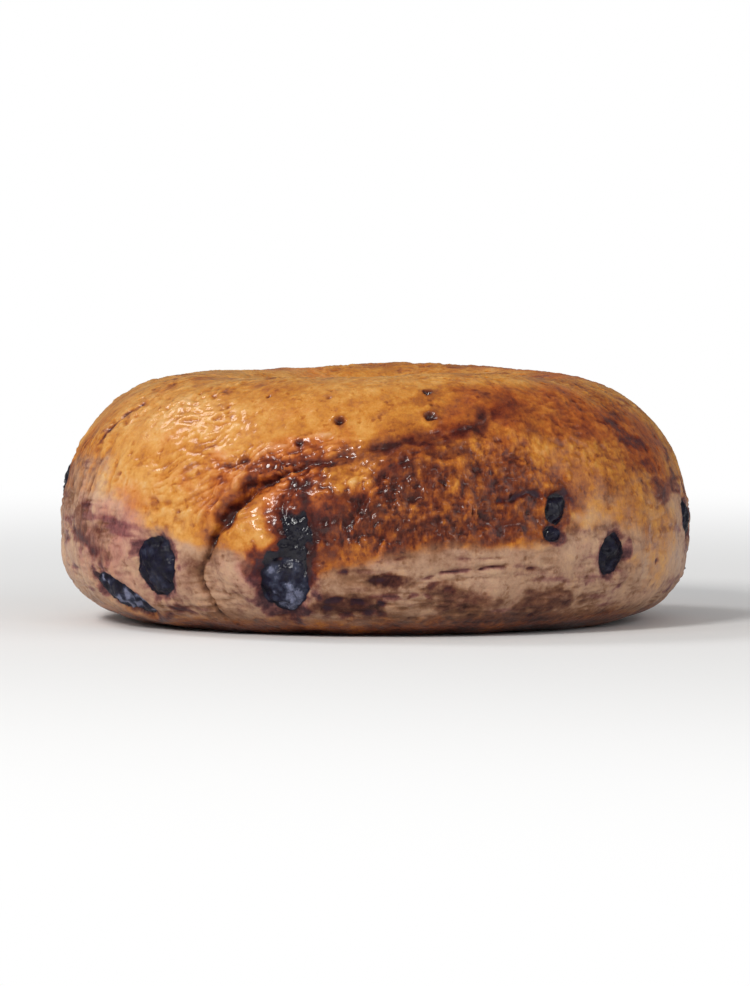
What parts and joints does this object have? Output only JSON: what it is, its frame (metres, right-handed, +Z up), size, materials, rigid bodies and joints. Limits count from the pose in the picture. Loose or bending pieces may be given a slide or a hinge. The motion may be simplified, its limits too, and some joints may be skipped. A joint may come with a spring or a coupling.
{
  "type": "bagel",
  "caption": "Plump baked ring bagel with a glossy golden-brown crust, blueberries baked into it, a small centre hole and a flat base to rest on.",
  "frame": {"origin": "centre of the flat base that the bagel rests on", "axes": "+Z up, along the hole; the front, with the fold of dough, faces -Y; +X is to the right seen from the front"},
  "size_m": [0.11, 0.108, 0.044],
  "materials": {
    "crust": "glossy golden-brown bread crust, blistered, with dark blueberries and purple juice stains"
  },
  "bodies": {
    "root": {"bagel": "crust"}
  },
  "joints": []
}
